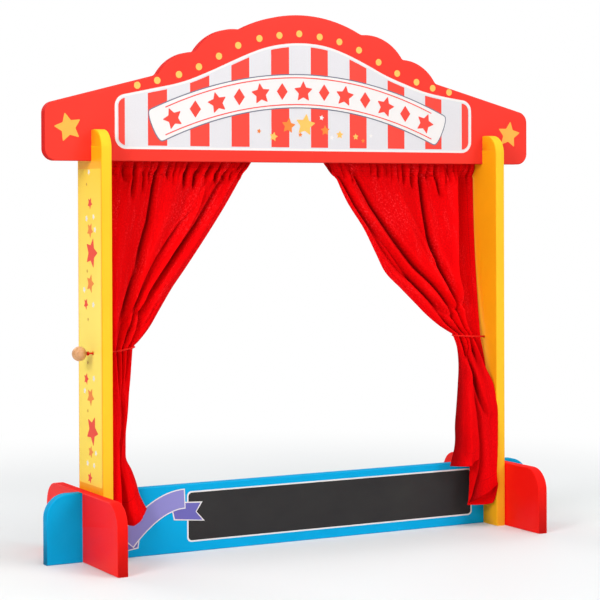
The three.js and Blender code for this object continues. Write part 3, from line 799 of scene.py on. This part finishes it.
RIGHT_FOLDS = [
    [(0, 0), (0, 0), (0, 0), (0, -1), (0, 0), (.08, -1), (.3, -3), 38],
    [(.105, -6), (.155, -8), (.24, -8), (.3, -8), (-.11, 6), (-.22, 10), (-.36, 24), 43],
    [(.155, 14), (.21, 18), (.31, 15), (.42, 10), (-.15, 15), (-.29, 24), (-.39, 34), 76],
    [(.386, -6), (.43, -12), (.37, -13), (.5, -9), (.16, 17), (.12, 21), (-.05, 27), 61],
    [(.6, 4), (.6, 6), (.45, 8), (.56, 10), (.75, 5), (.57, 4), (.37, 5), 42],
    [(.85, -6), (.78, -13), (.53, -12), (.62, -10), (.77, 11), (.55, 13), (.33, 14), 62],
    [(.91, 4), (.86, 6), (.64, 9), (.69, 10), (.65, 19), (.45, 25), (.24, 28), 121],
    [(.96, -5), (.93, -10), (.75, -12), (.77, -9), (.79, 17), (.68, 25), (.55, 26), 113],
    [(.98, 2), (.97, 2), (.87, 5), (.9, 8), (.92, 10), (.9, 17), (.8, 15), 112],
    [(1, 0)] * 7 + [112],
]
KEYS_UPPER = (0, 0.35, 0.75, 1)
KEYS_LOWER = (0, 0.35, 0.65, 1)


# How steeply a row of values runs at each of them, level where it turns, so that a curve
# through them never overshoots
def steady_slopes(values):
    steps = [b - a for a, b in zip(values, values[1:])]
    slopes = []
    for before, after in zip([steps[0]] + steps, steps + [steps[-1]]):
        product = before * after
        slopes.append(2 * product / (before + after) if product > 0 else 0.0)
    return slopes


# The cloth's section at one level, as evenly spaced places: how far across, how far forwards,
# and where between the fold lines. Ridges are round, and the valleys between them are tight.
def section_curve(section, width):
    across = [share * width for share, _ in section]
    depths = [depth for _, depth in section]
    leans, rises = steady_slopes(across), steady_slopes(depths)
    for i in range(1, len(section) - 1):
        if depths[i] < min(depths[i - 1], depths[i + 1]):
            leans[i] *= 0.4
    line, steps = [], 24
    for i in range(len(section) - 1):
        for step in range(steps):
            weights = curve_weights(step / steps)
            place = [sum(weight * value for weight, value in zip(weights, (
                values[i], values[i + 1], slopes[i], slopes[i + 1])))
                for values, slopes in ((across, leans), (depths, rises))]
            line.append((*place, i + step / steps))
    line.append((across[-1], depths[-1], len(section) - 1.0))
    lengths = distances_along([place[:2] for place in line])
    places = []
    for column in range(COLUMNS + 1):
        i, share = find_step(lengths, lengths[-1] * column / COLUMNS)
        places.append([a + (b - a) * share for a, b in zip(line[i], line[i + 1])])
    return places


# Creases, narrower than the folds: each is a line of (height, distance from the stage's middle)
# places from its top down, its depth at the top and at the bottom, and its half width, in
# millimetres. A negative depth is a sharp ridge.
LEFT_CREASES = [
    ([(656, 258), (636, 261.6), (594, 269), (552, 276), (508, 290), (475, 297), (426, 320),
      (388, 339), (362, 350)], 10, 6, 6),
    ([(656, 124), (640, 130), (608, 151), (583, 167), (551, 187), (518, 212), (485, 238),
      (446, 268), (422, 290), (398, 310), (377, 325), (358, 336)], 5, 7, 5),
    ([(566, 203), (524, 240), (490, 266), (450, 292), (415, 312), (385, 330)], 4, 6, 4),
    ([(600, 178), (577, 186), (540, 209), (512, 231), (479, 256), (457, 273), (436, 290),
      (409, 306)], -4, -7, 3.5),
    ([(412, 274), (389, 290), (371, 307), (352, 318)], 3, 7, 4),
    ([(656, 303), (620, 305), (586, 309)], 14, 0, 6),
    ([(656, 323), (618, 321)], 15, 0, 6.5),
    ([(656, 282), (628, 284), (596, 288)], 9, 0, 4),
    ([(656, 243), (618, 240)], 14, 0, 6),
    ([(656, 230), (612, 232)], 9, 0, 4),
    ([(656, 208), (606, 212)], 14, 0, 6.5),
    ([(656, 187), (602, 193)], 14, 0, 6),
    ([(656, 168), (612, 173)], 12, 0, 5.5),
    ([(656, 148), (616, 156)], 12, 0, 6),
    ([(656, 110), (620, 127)], 10, 0, 5),
    ([(300, 342), (263, 346), (237, 346), (206, 351)], 1, 4, 5),
]
RIGHT_CREASES = [
    ([(632, 88), (578, 123), (525, 168), (470, 213), (434, 242), (397, 281), (372, 306),
      (350, 320)], 6, 9, 5.5),
    ([(654, 112), (632, 122), (578, 157), (524, 200), (470, 245), (433, 281), (391, 314)],
     8, 8, 5.5),
    ([(656, 252), (632, 258), (578, 266), (523, 276), (469, 296), (432, 313), (398, 328)],
     12, 10, 7),
    ([(600, 208), (560, 232), (520, 257), (480, 281)], -2, -4, 6),
    ([(656, 285), (630, 288), (588, 299)], 16, 0, 5.5),
    ([(656, 237), (606, 242)], 13, 0, 5),
    ([(656, 218), (612, 222)], 10, 0, 5),
    ([(656, 312), (616, 314)], 11, 0, 5),
    ([(656, 186), (626, 188)], 9, 0, 4.5),
    ([(656, 168), (622, 171)], 10, 0, 5),
    ([(656, 106), (630, 112)], 9, 0, 4.5),
    ([(338, 321), (304, 331), (278, 336), (252, 341), (232, 345), (208, 352)], 18, 5, 6),
    ([(340, 346), (300, 355), (270, 361)], -3, -2, 5),
    ([(300, 322), (250, 318), (190, 312), (130, 306)], 1, 3, 6),
    ([(120, 318), (104, 316)], 2, 4, 7),
]


# The pocket also puckers all along, in short creases of its own
def puckers(seed, near, far):
    picker = random.Random(seed)
    made, across = [], near + 5
    while across < far - 5:
        low = 644 - picker.uniform(10, 34)
        made.append(([(657, across), (low, across + picker.uniform(-2, 4))],
                     picker.uniform(4, 10), 0, picker.uniform(3, 5)))
        across += picker.uniform(10, 17)
    return made


# A crease runs out over 12 mm at its two ends, and one that ends at nothing fades sooner
def crease_height(creases, across, up):
    run_out, total = 12, 0.0
    for line, depth_top, depth_low, half_width in creases:
        top, low = line[0][0], line[-1][0]
        if low - run_out < up < top + run_out:
            for (z0, x0), (z1, x1) in zip(line, line[1:]):
                if up >= z1:
                    break
            slope = (x1 - x0) / (z1 - z0)
            gap = (across - x0 - slope * (up - z0)) / math.hypot(1, slope) / half_width
            if abs(gap) < 3:
                down = min(max((top - up) / (top - low), 0), 1)
                ends = min((top - up) / run_out + 1, (up - low) / run_out + 1, 1)
                fade = down ** 3 if depth_low == 0 else down
                depth = (depth_top + (depth_low - depth_top) * fade) * ends
                total -= depth * (1 - 2 * gap * gap) * math.exp(-gap * gap)
    return total


# One row of the cloth. level runs from 0 to 1 down the part above the waist or below it.
def cloth_row(level, upper, edges, folds, creases, seed):
    at_post, at_stage = (Vector(smooth_place(edge, sum(find_step(lengths, level * lengths[-1]))))
                         for edge, lengths in ((edge, distances_along(edge)) for edge in edges))
    keys, first = (KEYS_UPPER, 0) if upper else (KEYS_LOWER, 3)
    place = sum(find_step(keys, level))
    section = [smooth_place([stop[:2] for stop in line[first:first + len(keys)]], place)
               for line in folds]
    chord = at_stage - at_post
    width = math.hypot(chord.x, chord.y)
    forwards = Vector((chord.y, -chord.x, 0)) / width
    if forwards.y > 0:
        forwards = -forwards
    waist_from, waist_to = 0.72, 0.3
    waist = max(level - waist_from, 0) / (1 - waist_from) if upper \
        else max(1 - level / waist_to, 0)
    pleats, pleat_height, wrinkle_height, fine_height, seam_depth = 13, 1.2, 2.2, 0.6, 1.6
    post_hem, stage_hem = folds[0][-1], folds[-1][-1]
    row = []
    for column, (distance, depth, place) in enumerate(section_curve(section, width)):
        across, share = column / COLUMNS, distance / width
        point = at_post + chord * share
        if not upper:
            hem = smooth_through([line[-1] for line in folds], place)
            straight_hem = post_hem + (stage_hem - post_hem) * share
            point.z += (hem - straight_hem) * level ** 1.5
        wrinkle = noise.noise(Vector((across * 12, level * 2.6 + (0 if upper else 5), seed)))
        fine = noise.noise(Vector((across * 36, level * 9 + (0 if upper else 9), seed + 7)))
        calm = min(1.0, 12 * min(across, 1 - across)) * (1 - 0.8 * waist)
        depth += crease_height(creases, point.x, point.z) * (1 - 0.6 * waist)
        if upper:
            # The pocket's seam draws the cloth in
            depth -= seam_depth * math.exp(-(level / 0.012) ** 2)
        # At the waist the bundle is oval, so the pleats at its two sides are shallow
        oval = math.sqrt(max(1 - (2 * share - 1) ** 2, 0.0))
        depth *= 1 - waist * (1 - max(oval, 0.12))
        pleat = math.sin(2 * math.pi * pleats * across + seed)
        depth += pleat_height * pleat * waist ** 1.3 * oval
        depth += (wrinkle_height * wrinkle + fine_height * fine) * calm
        row.append(point + forwards * depth)
    return row


# The pocket's section from its seam up the back, over the dowel and down to the seam again
POCKET = [(23.2, 630.5), (27.2, 637), (31.2, 646), (33, 655), (32.2, 663), (28.6, 668.6),
          (23.6, 669.8), (18.4, 668), (14.9, 662.6), (14, 655), (14.9, 647), (17.3, 639),
          (20.6, 632.5)]
POCKET_REACH, HEADER_BACK = 7.6, 11.6
GATHER_TOP, GATHER_HEIGHT = 651, 14


# Below the dowel the two layers of the pocket gather together, with the cloth under them
def pocket_point(turn, swell):
    y, z = smooth_place(POCKET, turn * (len(POCKET) - 1))
    outward = Vector((y - ROD_Y, z - ROD_Z)).normalized()
    below = min(max((GATHER_TOP - z) / GATHER_HEIGHT, 0), 1)
    free = math.sin(math.pi * turn) ** 0.5 * (1 - below)
    bulge = max(swell, POCKET_REACH - math.hypot(y - ROD_Y, z - ROD_Z)) * free
    y, z = y + outward.x * bulge, z + outward.y * bulge * 0.4
    # Between the pleats the cloth lies close on the dowel, and the header is in front of it
    reach = math.hypot(y - ROD_Y, z - ROD_Z)
    if reach < POCKET_REACH:
        y = ROD_Y + (y - ROD_Y) * POCKET_REACH / reach
        z = ROD_Z + (z - ROD_Z) * POCKET_REACH / reach
    return max(y - swell * below, HEADER_BACK), z


# tuft draws the pocket's corner at the stage's edge inwards, and slant the top of that edge
def curtain_grid(upper_edges, lower_edges, folds, creases, seed, tuft, slant):
    creases = creases + puckers(seed, upper_edges[1][0][0], upper_edges[0][0][0])
    seam_height, pleat_height, seam_share, tuft_columns, tuft_reach = 631, 641, 0.12, 6, 6
    rows = []
    seam = cloth_row(0, True, upper_edges, folds, creases, seed)
    for row in range(POCKET_ROWS):
        turn = row / POCKET_ROWS
        line = []
        for column, below in enumerate(seam):
            y, z = pocket_point(turn, crease_height(creases, below.x, pleat_height))
            near = max(1 - min(turn, 1 - turn) / seam_share, 0)
            y += (below.y - y) * near * (1 if turn > 0.5 else 0.6)
            spread = slant * min(max((z - seam_height) / 24, 0), 1) * (column / COLUMNS) ** 2
            line.append(Vector((below.x - spread, y, z)))
        rows.append(line)
    rows += [cloth_row(row / UPPER_ROWS, True, upper_edges, folds, creases, seed)
             for row in range(UPPER_ROWS)]
    rows += [cloth_row(row / LOWER_ROWS, False, lower_edges, folds, creases, seed)
             for row in range(LOWER_ROWS + 1)]
    for line in rows:
        for i in range(tuft_columns + 1):
            point = line[COLUMNS - tuft_columns + i]
            lift = math.exp(-((point.z - seam_height - 3) / tuft_reach) ** 2)
            point.x -= tuft * lift * i / tuft_columns
    return rows


# How far each place lies behind the cloth beside it, in millimetres, which the velvet turns into
# painted shade in the hollows and a painted highlight on the ridges. Below the tie the right
# curtain gets a further painted shade.
def hollows_of(rows, side):
    skirt_painted_shade_depth, skirt_painted_shade_rows = 6, 12
    # In columns to either side, of which every fourth one counts
    reach_above, reach_below, stride = 20, 44, 4
    hollows = []
    for row, line in enumerate(rows):
        # Painted shade added to the right curtain below the tie
        below_waist = min(max((row - WAIST_ROW) / skirt_painted_shade_rows, 0), 1)
        painted_nap_light = skirt_painted_shade_depth * max(side, 0) * below_waist
        reach = reach_above if row < WAIST_ROW else reach_below
        for column, point in enumerate(line):
            beside = line[max(column - reach, 0):column + reach + 1:stride]
            behind = point.y - sum(other.y for other in beside) / len(beside)
            hollows.append(behind + painted_nap_light)
    return hollows


def curtain(side_name, side, *shape):
    bpy.ops.object.select_all(action="DESELECT")
    rows = curtain_grid(*shape)
    bpy.ops.mesh.primitive_grid_add(x_subdivisions=COLUMNS, y_subdivisions=len(rows) - 1, size=1)
    piece = bpy.context.object
    piece.name = piece.data.name = side_name + "_velvet_curtain"
    for vertex, point in zip(piece.data.vertices, (point for line in rows for point in line)):
        vertex.co = side * point.x / 1000, point.y / 1000, point.z / 1000
    # How far down the cloth each row lies, measured on a few of the columns
    down, stride = [0.0], 22
    for above, line in zip(rows, rows[1:]):
        steps = [(a - b).length for a, b in zip(line[::stride], above[::stride])]
        down.append(down[-1] + sum(steps) / len(steps))
    cloth_map = piece.data.uv_layers[0]
    cloth_map.name = "cloth_mm"
    for corner in piece.data.loops:
        row, column = divmod(corner.vertex_index, COLUMNS + 1)
        cloth_map.data[corner.index].uv = (column / COLUMNS * FLAT_WIDTH * 1000, down[row])
    if side < 0:
        work_on_whole_mesh(bpy.ops.mesh.flip_normals)
    apply_modifier(piece, "SOLIDIFY", thickness=CLOTH, offset=0)
    bpy.ops.object.shade_smooth()
    # Solidify has doubled the points, and what is a hollow on one side is a ridge on the other
    hollows = hollows_of(rows, side)
    facing = sum(vertex.normal.y for vertex in piece.data.vertices[:len(hollows)])
    sign = 1 if facing < 0 else -1
    hollow = piece.data.attributes.new("hollow", "FLOAT", "POINT")
    hollow.data.foreach_set("value", [sign * value for value in hollows]
                            + [-sign * value for value in hollows])
    piece.data.materials.append(velvet)
    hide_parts(side_name + "_curtain")
    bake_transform(piece)


velvet = made_material("red_polyester_velvet", polyester_velvet)
curtain("left", -1, (POST_EDGE_UPPER, LEFT_STAGE_EDGE_UPPER),
        (LEFT_POST_EDGE_LOWER, LEFT_STAGE_EDGE_LOWER), LEFT_FOLDS, LEFT_CREASES, 17, 0, 15)
curtain("right", 1, (POST_EDGE_UPPER, RIGHT_STAGE_EDGE_UPPER),
        (RIGHT_POST_EDGE_LOWER, RIGHT_STAGE_EDGE_LOWER), RIGHT_FOLDS, RIGHT_CREASES, 41, 3, 17)


# Tie-backs: a loop of 2.5 mm braided elastic runs from the bead through the hole in the post,
# round the curtain and back. A knot holds its ends, and its tail is glued into the bead.

CORD = 0.0025
BEAD_RADIUS, BORE_RADIUS, BORE_EASING, BORE_DEPTH = 0.012, 0.003, 0.0006, 0.0135
HOLE_MOUTH = (0.390, -0.012, 0.340)
# The front half of each loop, in millimetres outwards, backwards and upwards from the middle
# of the hole's mouth
LEFT_LOOP = [(6.4, -1.4, 0), (-8, -1.4, 0), (-18, -1.5, 0), (-23.4, -4.8, 0.4),
             (-29, -9.6, 1.2), (-37, -14.3, 2.6), (-48, -16.8, 4.4), (-59, -14.4, 6),
             (-68.8, -8.3, 7.4), (-72.2, 0, 8)]
RIGHT_LOOP = [(0, -1.4, 0), (-8, -1.4, 0), (-18, -1.5, 0), (-23.4, -4.8, 0.2),
              (-29.5, -9.6, 0.6), (-39, -14.6, 1.2), (-52, -16.9, 2), (-68, -15.3, 3),
              (-79.8, -9.4, 3.7), (-84, 0, 4)]


# Braided elastic: dull red yarn with the small lumps of the plait, 0.9 mm apart, and painted
# shade darkening the yarn between the lumps
def braided_elastic(add):
    place = add("TexCoord").outputs["Object"]
    plait = add("TexVoronoi", {"Vector": place, "Scale": 1100.0})
    colour = add("ValToRGB", {"Fac": plait}, ((0, "#FF2216"), (0.8, "#D0140C")))
    bump = add("Bump", {"Height": plait, "Strength": 0.7, "Distance": 0.0004}, invert=True)
    return add("BsdfPrincipled", {"Base Color": colour, "Roughness": 0.72, "Normal": bump,
        "Specular IOR Level": 0.15})


def tube(name, points, diameter):
    piece = mesh_from_curve(name, [points], False, dimensions="3D", bevel_depth=diameter / 2,
                            bevel_resolution=5, use_fill_caps=True)
    bpy.ops.object.shade_smooth_by_angle(angle=math.radians(50))
    piece.data.materials.append(elastic)
    return piece


# An overhand knot pulled tight: a trefoil of the same elastic, with one end in the bead
def round_knot(name, side, bead_middle, knot_middle, knot_width):
    middle = Vector((side * knot_middle, *HOLE_MOUTH[1:]))
    # The trefoil's size across and how far its crossings swing across and along, in a knot
    # that is 8 mm wide
    radius, swing, lift, steps = 0.00205, 0.00088, 0.00115, 96
    squeeze = (knot_width - CORD) / (0.008 - CORD)
    points = []
    for i in range(steps + 1):
        angle = 2 * math.pi * i / steps
        across = (radius + swing * math.cos(3 * angle)) * squeeze
        points.append(middle + Vector((
            lift * math.sin(3 * angle) * side,
            across * math.cos(2 * angle),
            across * math.sin(2 * angle))))
    knot = tube(name, points, 0.0021)
    tube(name + "_tail", [(side * x, *HOLE_MOUTH[1:]) for x in (knot_middle, bead_middle)],
         CORD)
    knot.select_set(True)
    bpy.context.view_layer.objects.active = knot
    bpy.ops.object.join()
    return knot


# A turned ball. The pole that faces the post is drilled: its cap is taken off, the edge is
# eased inwards, and the bore is pushed in and closed.
def wooden_bead(name, side, middle):
    bpy.ops.object.select_all(action="DESELECT")
    bpy.ops.mesh.primitive_uv_sphere_add(segments=64, ring_count=48, radius=BEAD_RADIUS)
    bead = bpy.context.object
    bead.name = name
    bpy.ops.object.mode_set(mode="EDIT")
    bpy.ops.mesh.select_all(action="DESELECT")
    bpy.ops.object.mode_set(mode="OBJECT")
    bore_edge = BEAD_RADIUS * math.cos(math.asin(BORE_RADIUS / BEAD_RADIUS))
    for face in bead.data.polygons:
        face.select = face.center.z < -bore_edge
    bpy.ops.object.mode_set(mode="EDIT")
    bpy.ops.mesh.select_mode(type="FACE")
    bpy.ops.mesh.delete(type="FACE")
    bpy.ops.mesh.select_mode(type="EDGE")
    bpy.ops.mesh.select_non_manifold()
    bpy.ops.mesh.extrude_region_move(TRANSFORM_OT_translate={"value": (0, 0, BORE_EASING)})
    bpy.ops.transform.resize(value=(0.92, 0.92, 1))
    bpy.ops.mesh.extrude_region_move(TRANSFORM_OT_translate={"value": (0, 0, BORE_DEPTH)})
    bpy.ops.mesh.edge_face_add()
    bpy.ops.object.mode_set(mode="OBJECT")
    bead.rotation_euler = (0, side * math.pi / 2, 0)
    bead.location = (side * middle, *HOLE_MOUTH[1:])
    put_in_mesh()
    bpy.ops.object.shade_smooth_by_angle(angle=math.radians(40))
    bead.data.materials.append(bead_wood)
    return bead


def tie_back(side_name, side, front_half, bead_middle, knot_middle, knot_width):
    body = side_name + "_pull"
    places = front_half + [(x, -y, z) for x, y, z in front_half[-2::-1]]
    points = [Vector(HOLE_MOUTH) + Vector(place) / 1000 for place in places]
    route, steps = [], 6
    for step in range(steps * (len(points) - 1) + 1):
        x, y, z = smooth_place(points, step / steps)
        route.append(Vector((side * x, y, z)))
    loop = tube(side_name + "_elastic_loop", route, CORD)
    bead = wooden_bead(side_name + "_wooden_bead", side, bead_middle)
    knot = round_knot(side_name + "_elastic_knot", side, bead_middle, knot_middle, knot_width)
    for piece, node, record_slot in ((loop, "_tie_cord", "red_elastic"),
                                     (bead, "_tie_bead", "bare_beech"),
                                     (knot, "_cord_knot", "red_elastic")):
        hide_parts(side_name + node)
    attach(bead, body)
    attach(knot, body)
    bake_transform(loop)


elastic = made_material("red_braided_elastic", braided_elastic)
bead_wood = made_material("oiled_beech_bead", oiled_beech, "#DBA676", "#C08450")
tie_back("left", -1, LEFT_LOOP, 0.414, 0.3991, 0.008)
# The right loop is tight, so its bead lies against the post and its knot is inside the bead
tie_back("right", 1, RIGHT_LOOP, 0.4019, 0.3928, 0.0054)
